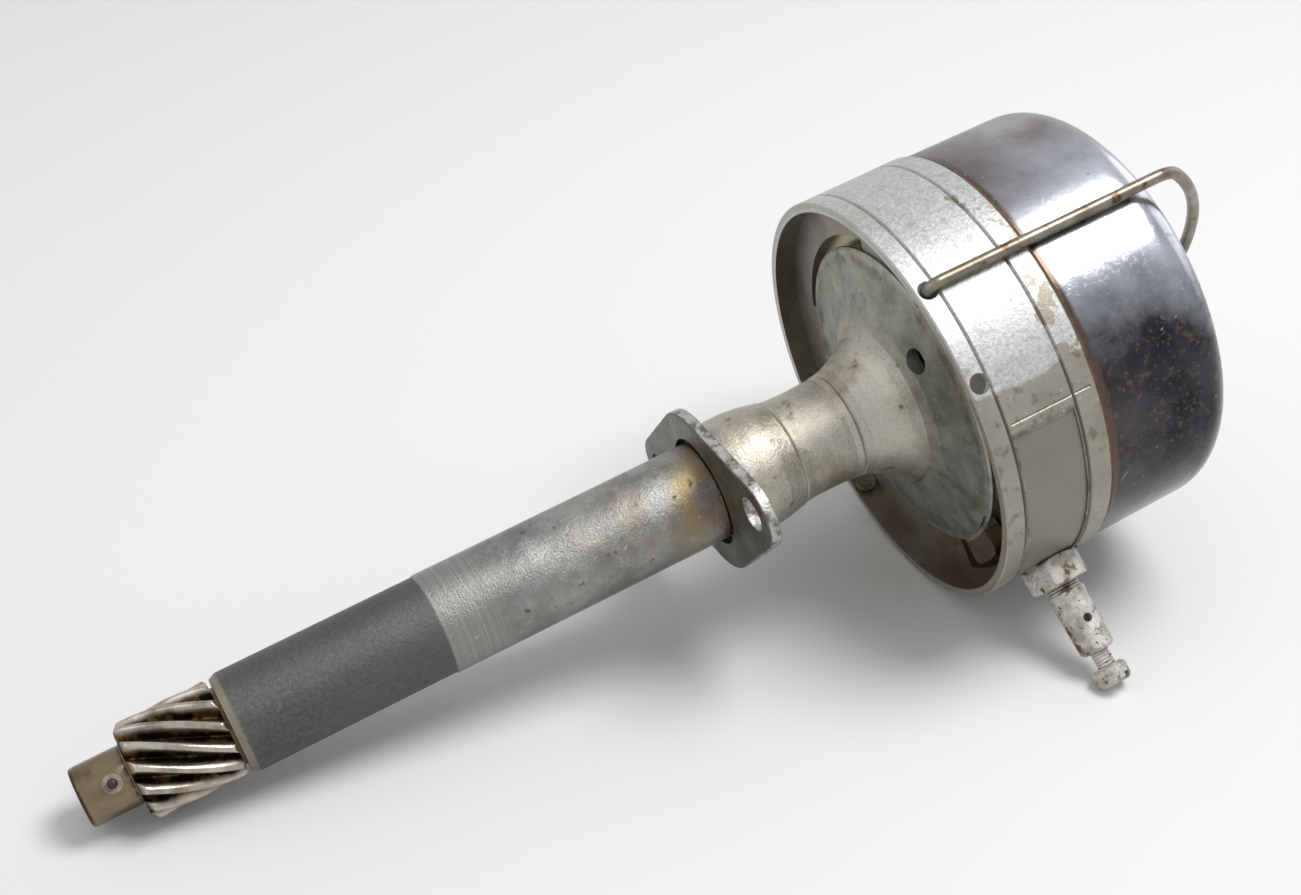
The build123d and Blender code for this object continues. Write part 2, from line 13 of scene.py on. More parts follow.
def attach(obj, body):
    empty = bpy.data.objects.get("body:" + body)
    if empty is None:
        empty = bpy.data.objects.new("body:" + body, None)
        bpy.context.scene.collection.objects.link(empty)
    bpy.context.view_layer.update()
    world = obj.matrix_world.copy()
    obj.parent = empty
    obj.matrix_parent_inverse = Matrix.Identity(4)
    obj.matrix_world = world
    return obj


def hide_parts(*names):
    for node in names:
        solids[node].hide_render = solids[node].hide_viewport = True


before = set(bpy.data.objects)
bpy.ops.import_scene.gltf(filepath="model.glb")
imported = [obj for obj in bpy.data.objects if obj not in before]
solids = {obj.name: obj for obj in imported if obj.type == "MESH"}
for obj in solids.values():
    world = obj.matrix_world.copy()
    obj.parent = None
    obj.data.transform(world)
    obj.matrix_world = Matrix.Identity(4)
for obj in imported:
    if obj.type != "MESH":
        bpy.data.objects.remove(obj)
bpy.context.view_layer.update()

# ---- Stem casting ------------------------------------------------------------------------
# One aluminium casting: a turned spigot that goes down the engine's bore, a belly, a neck and
# the round flange that the head turns on. Its lower end is a darker, worn steel sleeve.


def node(tree, kind, inputs=None, **settings):
    """Adds a shader node; an input given as a socket is linked, anything else is its value."""
    made = tree.nodes.new(kind)
    for name, value in settings.items():
        setattr(made, name, value)
    for name, value in (inputs or {}).items():
        if isinstance(value, bpy.types.NodeSocket):
            tree.links.new(value, made.inputs[name])
        else:
            made.inputs[name].default_value = value
    return made


def colour(r, g, b):
    """A colour socket's value."""
    return (r, g, b, 1.0)


def metal(name, metallic, roughness):
    """A new material: its tree, its Principled shader and its Object coordinates."""
    made = bpy.data.materials.new(name)
    made.use_nodes = True
    tree = made.node_tree
    shader = tree.nodes["Principled BSDF"]
    shader.inputs["Metallic"].default_value = metallic
    shader.inputs["Roughness"].default_value = roughness
    place = node(tree, "ShaderNodeTexCoord").outputs["Object"]
    return made, tree, shader, place


def span(tree, value, low, high):
    """Mask that rises from 0 to 1 while value goes from low to high."""
    made = node(tree, "ShaderNodeMapRange", {"Value": value, "From Min": low, "From Max": high})
    return made.outputs["Result"]


def times(tree, first, second):
    """Product of two masks."""
    return node(tree, "ShaderNodeMath", {0: first, 1: second}, operation="MULTIPLY").outputs[0]


def over(tree, base, top, mask):
    """Top colour laid over the base where the mask is 1."""
    made = node(tree, "ShaderNodeMix", {0: mask, 6: base, 7: top}, data_type="RGBA")
    return made.outputs[2]


def either(tree, low, high, mask):
    """Value that goes from low to high with the mask."""
    return node(tree, "ShaderNodeMix", {0: mask, 2: low, 3: high}, data_type="FLOAT").outputs[0]


def shared(name, inputs):
    """Starts a node group with the named value inputs after Place, and one Mask output."""
    group = bpy.data.node_groups.new(name, "ShaderNodeTree")
    group.interface.new_socket("Place", in_out="INPUT", socket_type="NodeSocketVector")
    for label in inputs:
        group.interface.new_socket(label, in_out="INPUT", socket_type="NodeSocketFloat")
    group.interface.new_socket("Mask", in_out="OUTPUT", socket_type="NodeSocketFloat")
    came = group.nodes.new("NodeGroupInput")
    went = group.nodes.new("NodeGroupOutput")
    return group, came.outputs, went.inputs["Mask"]


def blotch_group():
    """Patches of tarnish: fractal noise, cut between two levels so that its edges can be crisp."""
    group, came, mask = shared("Tarnish patches", ["Scale", "Low", "High", "Seed"])
    cloud = node(group, "ShaderNodeTexNoise", {"Vector": came["Place"], "Scale": came["Scale"],
                 "W": came["Seed"], "Detail": 6.0, "Roughness": 0.62}, noise_dimensions="4D")
    cut = span(group, cloud.outputs["Fac"], came["Low"], came["High"])
    group.links.new(cut, mask)
    return group


def scratch_group():
    """Straight fine scratches: Voronoi cells drawn out into needles, a share of them kept."""
    group, came, mask = shared("Scratches", ["Scale", "Turn", "Width", "Share"])
    turned = node(group, "ShaderNodeVectorRotate", {"Vector": came["Place"], "Angle": came["Turn"],
                  "Axis": (0.3, 0.5, 0.8)})
    drawn = node(group, "ShaderNodeVectorMath", {0: turned.outputs[0], 1: (0.055, 1.0, 0.6)},
                 operation="MULTIPLY")
    cell = node(group, "ShaderNodeTexVoronoi", {"Vector": drawn.outputs[0], "Scale": came["Scale"]})
    line = node(group, "ShaderNodeMapRange", {"Value": cell.outputs["Distance"], "From Min": came["Width"],
                "From Max": 0.0})
    pick = node(group, "ShaderNodeSeparateColor", {"Color": cell.outputs["Color"]})
    kept = node(group, "ShaderNodeMath", {0: pick.outputs[0], 1: came["Share"]}, operation="LESS_THAN")
    group.links.new(times(group, line.outputs["Result"], kept.outputs[0]), mask)
    return group


def speck_group():
    """Pits and specks: the middles of Voronoi cells, kept only where a coarse noise allows."""
    group, came, mask = shared("Pits and specks", ["Scale", "Size", "Cover", "Seed"])
    cell = node(group, "ShaderNodeTexVoronoi", {"Vector": came["Place"], "Scale": came["Scale"],
                "W": came["Seed"]}, voronoi_dimensions="4D")
    dot = node(group, "ShaderNodeMapRange", {"Value": cell.outputs["Distance"], "From Min": came["Size"],
               "From Max": 0.0})
    coarse = node(group, "ShaderNodeMath", {0: came["Scale"], 1: 0.22}, operation="MULTIPLY")
    where = node(group, "ShaderNodeTexNoise", {"Vector": came["Place"], "Scale": coarse.outputs[0],
                 "W": came["Seed"], "Detail": 3.0}, noise_dimensions="4D")
    kept = node(group, "ShaderNodeMath", {0: where.outputs["Fac"], 1: came["Cover"]},
                operation="GREATER_THAN")
    group.links.new(times(group, dot.outputs["Result"], kept.outputs[0]), mask)
    return group


def grain_group():
    """Fine all-over grain of a cast or painted skin: high noise around a half."""
    group, came, mask = shared("Grain", ["Scale", "Contrast"])
    fine = node(group, "ShaderNodeTexNoise", {"Vector": came["Place"], "Scale": came["Scale"], "Detail": 4.0,
                "Roughness": 0.7})
    high = node(group, "ShaderNodeMath", {0: came["Contrast"], 1: 0.5}, operation="ADD")
    low = node(group, "ShaderNodeMath", {0: 0.5, 1: came["Contrast"]}, operation="SUBTRACT")
    group.links.new(span(group, fine.outputs["Fac"], low.outputs[0], high.outputs[0]), mask)
    return group


BLOTCH, SCRATCH, SPECK, GRAIN = blotch_group(), scratch_group(), speck_group(), grain_group()


def effect(tree, group, place, **inputs):
    """One of the shared effects, placed with its own values; returns its mask."""
    made = node(tree, "ShaderNodeGroup", node_tree=group)
    tree.links.new(place, made.inputs["Place"])
    for label, value in inputs.items():
        made.inputs[label].default_value = value
    return made.outputs["Mask"]


def parts_of(tree, place):
    """Height along the shaft, distance from it and azimuth (radians) of a point."""
    split = node(tree, "ShaderNodeSeparateXYZ", {"Vector": place}).outputs
    flat = node(tree, "ShaderNodeCombineXYZ", {"X": split["X"], "Y": split["Y"]})
    radius = node(tree, "ShaderNodeVectorMath", {0: flat.outputs[0]}, operation="LENGTH").outputs["Value"]
    azimuth = node(tree, "ShaderNodeMath", {0: split["Y"], 1: split["X"]}, operation="ARCTAN2").outputs[0]
    return split["Z"], radius, azimuth


def shifted(tree, value, mask, reach):
    """Value moved up or down by the mask times reach, so that a zone's edge wanders."""
    moved = node(tree, "ShaderNodeMath", {0: mask, 1: reach, 2: value}, operation="MULTIPLY_ADD")
    return moved.outputs[0]


def larger(tree, first, second):
    """The larger of two masks."""
    return node(tree, "ShaderNodeMath", {0: first, 1: second}, operation="MAXIMUM").outputs[0]


def bumped(tree, shader, height, distance):
    """Feeds a height, as deep as the distance, into the shader's normal."""
    bump = node(tree, "ShaderNodeBump", {"Height": height, "Distance": distance, "Strength": 1.0})
    tree.links.new(bump.outputs["Normal"], shader.inputs["Normal"])


def dress(made, slot, *names):
    """Gives a finish to solids; the slot is not used."""
    for name in names:
        piece = solids[name]
        piece.data.materials.clear()
        piece.data.materials.append(made)


CRISP = 0.0001  # half the width of a sharp border between two finishes
STEP_Z, STEM_END_Z, CLAMP_FACE_Z = -0.0518, -0.08835, 0.0
CLAMP_GROOVE_R, CLAMP_GROOVE_TOP_Z = 0.0082, 0.0020
NECK_R, FLARE_LOW_Z, FLARE_TOP_Z = 0.0125, 0.030, 0.034
DIRT_R, LIP_R, LIP_Z, FLANGE_EDGE_R = 0.0235, 0.0264, 0.0388, 0.0284
STAIN_LOW_Z, STAIN_TOP_Z = -0.022, 0.002
TURNED_TOP_Z, TURNED_FULL_Z = -0.0345, -0.0440
CUT_CLEAN_Z, CUT_DIRTY_Z = -0.0450, -0.0380
TURNING_MARKS = 3200.0  # scale of the tool's marks
stem_skin, tree, shader, place = metal("stem_skin", 1.0, 0.36)
height, radius = parts_of(tree, place)[:2]
cloud = effect(tree, BLOTCH, place, Scale=130.0, Low=0.35, High=0.65, Seed=1.0)
fine = effect(tree, GRAIN, place, Scale=2600.0, Contrast=0.16)
alloy = over(tree, colour(0.40, 0.365, 0.30), colour(0.52, 0.49, 0.43), fine)
skin = over(tree, alloy, colour(0.27, 0.235, 0.165),
            effect(tree, BLOTCH, place, Scale=85.0, Low=0.47, High=0.66, Seed=2.0))
skin = over(tree, skin, colour(0.17, 0.14, 0.09),
            effect(tree, BLOTCH, place, Scale=260.0, Low=0.60, High=0.70, Seed=9.0))
flange = times(tree, span(tree, radius, NECK_R, NECK_R + 0.005), span(tree, height, FLARE_LOW_Z, FLARE_TOP_Z))
mottled = over(tree, colour(0.275, 0.28, 0.245), colour(0.185, 0.185, 0.150),
               effect(tree, BLOTCH, place, Scale=420.0, Low=0.40, High=0.66, Seed=3.0))
mottled = over(tree, mottled, colour(0.40, 0.395, 0.35),
               effect(tree, BLOTCH, place, Scale=190.0, Low=0.44, High=0.74, Seed=10.0))
at_lip = span(tree, radius, LIP_R, LIP_R + 0.0008)
dirty = times(tree, span(tree, radius, DIRT_R, LIP_R + 0.0008),
              effect(tree, BLOTCH, place, Scale=240.0, Low=0.46, High=0.62, Seed=14.0))
mottled = over(tree, mottled, colour(0.12, 0.105, 0.075), dirty)
skin = over(tree, skin, mottled, flange)
lip = times(tree, at_lip, span(tree, height, LIP_Z, LIP_Z + 0.0004))
skin = over(tree, skin, colour(0.40, 0.39, 0.35), times(tree, lip, cloud))
rusty = over(tree, colour(0.120, 0.078, 0.050), colour(0.185, 0.135, 0.095), cloud)
skin = over(tree, skin, rusty, span(tree, radius, FLANGE_EDGE_R, FLANGE_EDGE_R + 0.0002))
spigot = span(tree, height, CLAMP_FACE_Z + 0.0006, CLAMP_FACE_Z)
steel = over(tree, colour(0.165, 0.163, 0.158), colour(0.285, 0.28, 0.265),
             effect(tree, BLOTCH, place, Scale=75.0, Low=0.38, High=0.66, Seed=4.0))
sparkling = times(tree, fine, effect(tree, BLOTCH, place, Scale=240.0, Low=0.45, High=0.62, Seed=11.0))
steel = over(tree, steel, colour(0.40, 0.39, 0.37), sparkling)
stained = times(tree, span(tree, shifted(tree, height, cloud, 0.008), STAIN_LOW_Z, STAIN_TOP_Z),
                effect(tree, BLOTCH, place, Scale=110.0, Low=0.43, High=0.60, Seed=5.0))
steel = over(tree, steel, colour(0.30, 0.225, 0.115), stained)
steel = over(tree, steel, colour(0.085, 0.070, 0.050),
             effect(tree, BLOTCH, place, Scale=380.0, Low=0.62, High=0.68, Seed=12.0))
turned = times(tree, span(tree, shifted(tree, height, cloud, 0.004), TURNED_TOP_Z, TURNED_FULL_Z),
               span(tree, height, STEP_Z - CRISP, STEP_Z + CRISP))
along_shaft = node(tree, "ShaderNodeCombineXYZ", {"Z": height}).outputs[0]
lines = node(tree, "ShaderNodeTexNoise",
             {"Vector": along_shaft, "Scale": TURNING_MARKS, "Detail": 3.0}).outputs["Fac"]
cut = over(tree, colour(0.19, 0.183, 0.172), colour(0.34, 0.33, 0.312), span(tree, lines, 0.36, 0.64))
cut = over(tree, cut, colour(0.15, 0.142, 0.130),
           times(tree, cloud, span(tree, height, CUT_CLEAN_Z, CUT_DIRTY_Z)))
steel = over(tree, steel, cut, turned)
skin = over(tree, skin, steel, spigot)
sleeve = over(tree, colour(0.066, 0.066, 0.068), colour(0.100, 0.099, 0.097),
              effect(tree, BLOTCH, place, Scale=60.0, Low=0.36, High=0.68, Seed=6.0))
sleeve = over(tree, sleeve, colour(0.24, 0.22, 0.19),
              effect(tree, SPECK, place, Scale=560.0, Size=0.22, Cover=0.515, Seed=2.0))
sleeve = over(tree, sleeve, colour(0.135, 0.130, 0.122),
              effect(tree, GRAIN, place, Scale=1400.0, Contrast=0.22))
worn_end = span(tree, shifted(tree, height, fine, 0.0003), STEM_END_Z + 0.0016, STEM_END_Z + 0.0012)
sleeve = over(tree, sleeve, colour(0.25, 0.215, 0.17), worn_end)
on_sleeve = span(tree, height, STEP_Z + CRISP, STEP_Z - CRISP)
skin = over(tree, skin, sleeve, on_sleeve)
skin = over(tree, skin, colour(0.035, 0.027, 0.020),
            effect(tree, SPECK, place, Scale=330.0, Size=0.20, Cover=0.60, Seed=7.0))
# Painted shade: the groove under the clamp plate, seen through the gap round the plate's hole, is painted
# near-black.
groove = times(tree, span(tree, radius, CLAMP_GROOVE_R + 0.0004, CLAMP_GROOVE_R),
               times(tree, span(tree, height, CLAMP_FACE_Z - 0.0003, CLAMP_FACE_Z),
                     span(tree, height, CLAMP_GROOVE_TOP_Z + 0.0003, CLAMP_GROOVE_TOP_Z)))
skin = over(tree, skin, colour(0.06, 0.045, 0.03), groove)
rubbed = effect(tree, SCRATCH, place, Scale=900.0, Turn=0.7, Width=0.15, Share=0.35)
crossed = effect(tree, SCRATCH, place, Scale=760.0, Turn=2.0, Width=0.14, Share=0.30)
rubbed = times(tree, larger(tree, rubbed, crossed), either(tree, 0.75, 0.10, on_sleeve))
skin = over(tree, skin, colour(0.60, 0.57, 0.51), rubbed)
tree.links.new(skin, shader.inputs["Base Color"])
rough = either(tree, 0.27, 0.42, fine)
rough = either(tree, rough, 0.44, flange)
rough = either(tree, rough, 0.47, on_sleeve)
tree.links.new(rough, shader.inputs["Roughness"])
dented = effect(tree, BLOTCH, place, Scale=600.0, Low=0.3, High=0.7, Seed=13.0)
bumped(tree, shader, either(tree, fine, dented, 0.5), 0.00007)
dress(stem_skin, "cast_stem", "stem_housing")

# ---- Bushings, seal and retainer ---------------------------------------------------------
# Oiled bronze bushings are pressed into both ends of the stem. A black seal ring sits in the
# groove above the spigot, and a steel ring with three screws keeps the head on the flange.


def patchy(name, metallic, roughness, base, top, **patches):
    """A finish of one colour with patches of tarnish in another."""
    made, tree, shader, place = metal(name, metallic, roughness)
    mixed = over(tree, base, top, effect(tree, BLOTCH, place, **patches))
    tree.links.new(mixed, shader.inputs["Base Color"])
    return made


def plain(name, metallic, roughness, tint):
    """A finish of one colour, for small pieces that are dark or hidden."""
    made, _, shader, _ = metal(name, metallic, roughness)
    shader.inputs["Base Color"].default_value = tint
    return made


bronze = patchy("oiled_bronze", 1.0, 0.38, colour(0.50, 0.33, 0.14), colour(0.20, 0.12, 0.05),
                Scale=160.0, Low=0.42, High=0.6, Seed=1.0)
dress(bronze, "bush_bronze", "lower_bushing", "upper_bushing")
dress(plain("oily_seal", 0.0, 0.42, colour(0.045, 0.030, 0.020)), "seal_rubber", "stem_seal_ring")
bright = patchy("bright_steel", 1.0, 0.30, colour(0.52, 0.51, 0.49), colour(0.27, 0.22, 0.16),
                Scale=240.0, Low=0.50, High=0.62, Seed=2.0)
dress(bright, "shaft_steel", "retaining_screw_1", "retaining_screw_2", "retaining_screw_3", "drive_shaft",
      "shaft_circlip", "cam_screw", "plate_screw_1", "plate_screw_2", "plate_screw_3", "lever_pivot",
      "pivot_clip", "lever_spring", "contact_lock_screw", "gap_adjusting_screw", "strap_screw")
dress(bright, "cam_steel", "breaker_cam")
passivated = patchy("passivated_plate", 1.0, 0.34, colour(0.50, 0.46, 0.33), colour(0.36, 0.30, 0.18),
                    Scale=110.0, Low=0.40, High=0.64, Seed=3.0)
dress(passivated, "plate_steel", "retaining_ring", "breaker_plate", "breaker_lever",
      "fixed_contact_bracket", "condenser_strap")

# ---- Skew gear ---------------------------------------------------------------------------
# A right-hand skew gear and its collar turned from one steel bar and pinned to the shaft. The
# teeth are rounded and polished by use; old brown oil fills the gullets. The hollow pin's
# dark centre is painted shade.
GEAR_R, ROOT_R, GEAR_TEETH = 0.0084, 0.0061, 12
HELIX, TOOTH_TURN = np.radians(31.5), np.radians(2.6)
CREST_WIDTH = 1.4  # a higher power makes the crests broader
GEAR_LOW, GEAR_TOP = -0.1053, -0.08895
LOW_CHAMFER, LOW_SLOPE, TOP_CHAMFER, TOP_SLOPE = 0.0013, 1.25, 0.0005, 1.0
COLLAR_R, COLLAR_END, BORE_R = 0.00516, -0.1141, 0.0040
AROUND, LENGTHWAYS = 480, 40  # points round the gear and rows along its teeth


def surface(name, points):
    """Mesh from a grid of points [u, v, xyz]: each row is a closed loop, joined to the next row.
    Points that fall together, at a pole or where the last row meets the first, become one."""
    rows, columns = points.shape[:2]
    u, v = np.meshgrid(np.arange(rows - 1), np.arange(columns), indexing="ij")
    beside = (v + 1) % columns
    low, high = u * columns, (u + 1) * columns
    faces = np.stack([low + v, low + beside, high + beside, high + v], axis=-1).reshape(-1, 4)
    made = bpy.data.meshes.new(name)
    made.from_pydata(points.reshape(-1, 3).tolist(), [], faces.tolist())
    welded = bmesh.new()
    welded.from_mesh(made)
    bmesh.ops.remove_doubles(welded, verts=welded.verts, dist=1e-7)
    welded.to_mesh(made)
    welded.free()
    made.polygons.foreach_set("use_smooth", np.ones(len(made.polygons), dtype=bool))
    piece = bpy.data.objects.new(name, made)
    bpy.context.scene.collection.objects.link(piece)
    return piece


def toothed_bar(angle, z):
    """Radius of the worn skew gear: a raised cosine with rounded crests, twisted with height and
    turned down to a chamfer at both ends."""
    twist = np.tan(HELIX) / GEAR_R * (z - GEAR_LOW)
    phase = GEAR_TEETH * (angle - TOOTH_TURN - twist)
    crest = 1.0 - (0.5 - 0.5 * np.cos(phase)) ** CREST_WIDTH
    chamfer_low = GEAR_R - LOW_CHAMFER + (z - GEAR_LOW) * LOW_SLOPE
    chamfer_top = GEAR_R - TOP_CHAMFER + (GEAR_TOP - z) * TOP_SLOPE
    return np.minimum(ROOT_R + (GEAR_R - ROOT_R) * crest, np.minimum(chamfer_low, chamfer_top))


turn = np.linspace(0.0, 2.0 * np.pi, AROUND + 1)[:-1]
# Rows crowd together in both chamfers, where the radius changes fast.
levels = np.concatenate([GEAR_LOW + np.linspace(0, 1, 9) ** 2 * 0.0012,
                         np.linspace(GEAR_LOW + 0.0016, GEAR_TOP - 0.0008, LENGTHWAYS),
                         GEAR_TOP - np.linspace(1, 0, 7) ** 2 * 0.0005])
angle, z = np.meshgrid(turn, levels)
tooth_r = toothed_bar(angle, z)
profile_r = np.array([BORE_R, 0.00470, 0.00490, COLLAR_R - 0.00008, COLLAR_R, COLLAR_R, COLLAR_R - 0.00012])
profile_z = np.array([COLLAR_END, COLLAR_END, COLLAR_END + 0.00008, COLLAR_END + 0.0004, COLLAR_END + 0.0008,
                      GEAR_LOW - 0.0003, GEAR_LOW - 0.00002])
collar_r, around = np.meshgrid(profile_r, turn, indexing="ij")
collar_z = np.broadcast_to(profile_z[:, None], collar_r.shape)
# The last two rows go down the bore and close the gear on its first row.
closing_r = np.full((2, AROUND), BORE_R)
radii = np.vstack([collar_r, tooth_r, closing_r])
closing_z = np.broadcast_to(np.array([[GEAR_TOP], [COLLAR_END]]), closing_r.shape)
heights = np.vstack([collar_z, z, closing_z])
around = np.broadcast_to(turn, radii.shape)
gear_points = np.stack([radii * np.cos(around), radii * np.sin(around), heights], axis=-1)
skew_gear = surface("skew_gear", gear_points)
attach(skew_gear, "shaft")
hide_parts("drive_gear")

CREST_LOW_R, CREST_FULL_R = 0.0070, 0.0080
gear_skin, tree, shader, place = metal("oiled_gear", 1.0, 0.27)
height, radius = parts_of(tree, place)[:2]
patch = effect(tree, BLOTCH, place, Scale=260.0, Low=0.38, High=0.62, Seed=1.0)
crest = span(tree, shifted(tree, radius, patch, -0.0004), CREST_LOW_R, CREST_FULL_R)
oil = over(tree, colour(0.018, 0.013, 0.009), colour(0.215, 0.130, 0.050),
           effect(tree, BLOTCH, place, Scale=330.0, Low=0.50, High=0.62, Seed=4.0))
worn = over(tree, colour(0.50, 0.46, 0.40), colour(0.235, 0.195, 0.145),
            effect(tree, BLOTCH, place, Scale=170.0, Low=0.46, High=0.66, Seed=2.0))
skin = over(tree, oil, worn, crest)
collar = span(tree, height, GEAR_LOW, GEAR_LOW - 0.0002)
browned = over(tree, colour(0.245, 0.190, 0.120), colour(0.115, 0.088, 0.058),
               effect(tree, BLOTCH, place, Scale=130.0, Low=0.40, High=0.66, Seed=3.0))
browned = over(tree, browned, colour(0.34, 0.30, 0.23),
               effect(tree, SCRATCH, place, Scale=1100.0, Turn=1.2, Width=0.14, Share=0.12))
browned = over(tree, browned, colour(0.050, 0.040, 0.030),
               span(tree, height, COLLAR_END + 0.0007, COLLAR_END + 0.0004))
skin = over(tree, skin, browned, collar)
tree.links.new(skin, shader.inputs["Base Color"])
tree.links.new(either(tree, either(tree, 0.5, 0.20, crest), 0.27, collar), shader.inputs["Roughness"])
bumped(tree, shader, effect(tree, GRAIN, place, Scale=1600.0, Contrast=0.3), 0.00002)
skew_gear.data.materials.append(gear_skin)

PIN_TURN, PIN_Z = np.radians(-18.0), -0.1085
PIN_HOLE_R, PIN_SHADE_DEPTH = 0.00084, 0.00519  # the hole's radius, and how far out the painted shade disc in it reaches
PIN_SIDES = 24
across = np.array([-np.sin(PIN_TURN), np.cos(PIN_TURN), 0.0])
outward = np.array([np.cos(PIN_TURN), np.sin(PIN_TURN), 0.0])
# Painted shade: a near-black cylinder fills the pin's hollow, so that its ends show as dark as a deep hole.
# A cylinder along the pin: its rows run from one end's centre to the rim, and back at the far end.
spread, around = np.meshgrid(np.array([0.0, PIN_HOLE_R, PIN_HOLE_R, 0.0]),
                             np.linspace(0, 2 * np.pi, PIN_SIDES + 1)[:-1], indexing="ij")
depth = PIN_SHADE_DEPTH * np.array([1.0, 1.0, -1.0, -1.0])[:, None, None]
hole_shade_points = depth * outward + spread[..., None] * (np.cos(around)[..., None] * across
                                             + np.sin(around)[..., None] * np.array([0.0, 0.0, 1.0]))
pin_hole_shade = surface("pin_hole_shade", hole_shade_points + np.array([0.0, 0.0, PIN_Z]))
pin_hole_shade.data.flip_normals()
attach(pin_hole_shade, "shaft")
pin_hole_shade.data.materials.append(plain("painted_hole_shade", 0.0, 0.45, colour(0.02, 0.016, 0.012)))
pin_end = patchy("pin_steel", 1.0, 0.30, colour(0.36, 0.32, 0.25), colour(0.16, 0.13, 0.09),
                 Scale=700.0, Low=0.44, High=0.6, Seed=1.0)
dress(pin_end, "pin_steel", "gear_pin")
# Painted shade: the thrust washer is painted near-black with brown patches, as dark as the shadow between the
# gear and the stem's end.
oily = patchy("washer_painted_shade", 1.0, 0.34, colour(0.060, 0.045, 0.028), colour(0.15, 0.105, 0.055),
              Scale=300.0, Low=0.42, High=0.6, Seed=1.0)
dress(oily, "bush_bronze", "thrust_washer")

# ---- Clamp plate -------------------------------------------------------------------------
# A two-bolt plate sheared from thick steel, loose on the stem until it is bolted down. Its
# sheared edge is rough and pale, its faces are darker.
CLAMP_TOP_Z, CLAMP_HOLE_R = 0.0019, 0.0115
clamp_skin, tree, shader, place = metal("clamp_steel", 1.0, 0.40)
height, radius = parts_of(tree, place)[:2]
patch = effect(tree, BLOTCH, place, Scale=170.0, Low=0.42, High=0.62, Seed=1.0)
faces = over(tree, colour(0.095, 0.088, 0.075), colour(0.185, 0.175, 0.150), patch)
faces = over(tree, faces, colour(0.30, 0.285, 0.25),
             effect(tree, SCRATCH, place, Scale=700.0, Turn=0.4, Width=0.12, Share=0.14))
edge = times(tree, span(tree, height, CLAMP_FACE_Z + CRISP, CLAMP_FACE_Z + 0.00028),
             span(tree, height, CLAMP_TOP_Z + 0.00005, CLAMP_TOP_Z - 0.0002))
edge = times(tree, edge, span(tree, radius, CLAMP_HOLE_R, CLAMP_HOLE_R + 0.001))
torn = over(tree, colour(0.47, 0.46, 0.43), colour(0.16, 0.15, 0.13),
            effect(tree, BLOTCH, place, Scale=520.0, Low=0.46, High=0.58, Seed=2.0))
tree.links.new(over(tree, faces, torn, edge), shader.inputs["Base Color"])
bumped(tree, shader, effect(tree, BLOTCH, place, Scale=520.0, Low=0.3, High=0.7, Seed=2.0), 0.00018)
dress(clamp_skin, "clamp_steel", "clamp_plate")

# ---- Head ring ---------------------------------------------------------------------------
# A die-cast housing in silver paint, with two turned grooves. The paint has peeled near the
# cover, the lower side is bare and brown, and the mouth's inner wall is rusty.
# Heights and radii of the ring's borders, and azimuths, in radians, of its worn sectors.
BAND_LOW_Z, BAND_TOP_Z, PEEL_Z, GROOVE_TOP_Z = 0.0400, 0.0528, 0.0540, 0.0567
RIM_Z, RIM_R, GROOVE_R, MOUTH_R, FLOOR_Z, FLOOR_R = 0.0363, 0.0366, 0.0377, 0.03635, 0.0403, 0.0361
SCRIBE_AZ, BARE_END_AZ, BEIGE_START_AZ, BEIGE_END_AZ = 0.035, 1.68, -0.12, 2.9
RUSTY_START_AZ, RUSTY_END_AZ, PEEL_AZ = 0.20, 1.9, -0.75
ring_skin, tree, shader, place = metal("silver_paint", 0.7, 0.44)
height, radius, azimuth = parts_of(tree, place)
grain = effect(tree, GRAIN, place, Scale=1500.0, Contrast=0.22)
paint = over(tree, colour(0.35, 0.353, 0.345), colour(0.63, 0.637, 0.63), grain)
paint = over(tree, paint, colour(0.36, 0.34, 0.29),
             effect(tree, BLOTCH, place, Scale=60.0, Low=0.52, High=0.74, Seed=1.0))
cloud = effect(tree, BLOTCH, place, Scale=120.0, Low=0.30, High=0.70, Seed=3.0)
flaking = effect(tree, BLOTCH, place, Scale=130.0, Low=0.495, High=0.505, Seed=6.0)
beige = over(tree, colour(0.36, 0.335, 0.28), colour(0.27, 0.245, 0.20), cloud)
wander = shifted(tree, azimuth, cloud, 0.10)
beside_scribe = times(tree, span(tree, wander, BEIGE_START_AZ, BEIGE_START_AZ + 0.02),
                      span(tree, azimuth, BEIGE_END_AZ, BEIGE_END_AZ - 0.4))
skin = over(tree, paint, beige, beside_scribe)
bare = over(tree, colour(0.085, 0.070, 0.048), colour(0.225, 0.210, 0.172),
            effect(tree, BLOTCH, place, Scale=130.0, Low=0.40, High=0.55, Seed=2.0))
glints = times(tree, grain, effect(tree, BLOTCH, place, Scale=260.0, Low=0.48, High=0.62, Seed=8.0))
bare = over(tree, bare, colour(0.33, 0.32, 0.28), glints)
bare = over(tree, bare, colour(0.075, 0.060, 0.042),
            effect(tree, SPECK, place, Scale=420.0, Size=0.24, Cover=0.50, Seed=21.0))
below_scribe = times(tree, span(tree, azimuth, SCRIBE_AZ, SCRIBE_AZ + 0.025),
                     span(tree, azimuth, BARE_END_AZ, BARE_END_AZ - 0.02))
between = times(tree, span(tree, height, BAND_LOW_Z, BAND_LOW_Z + 0.0003),
                span(tree, height, BAND_TOP_Z, BAND_TOP_Z - 0.0003))
skin = over(tree, skin, bare, times(tree, below_scribe, between))
near_cover = times(tree, span(tree, shifted(tree, height, cloud, 0.003), PEEL_Z, PEEL_Z + CRISP),
                   span(tree, shifted(tree, azimuth, cloud, 0.5), PEEL_AZ, PEEL_AZ + 0.05))
skin = over(tree, skin, beige, times(tree, near_cover, flaking))
dirt = effect(tree, BLOTCH, place, Scale=420.0, Low=0.55, High=0.68, Seed=7.0)
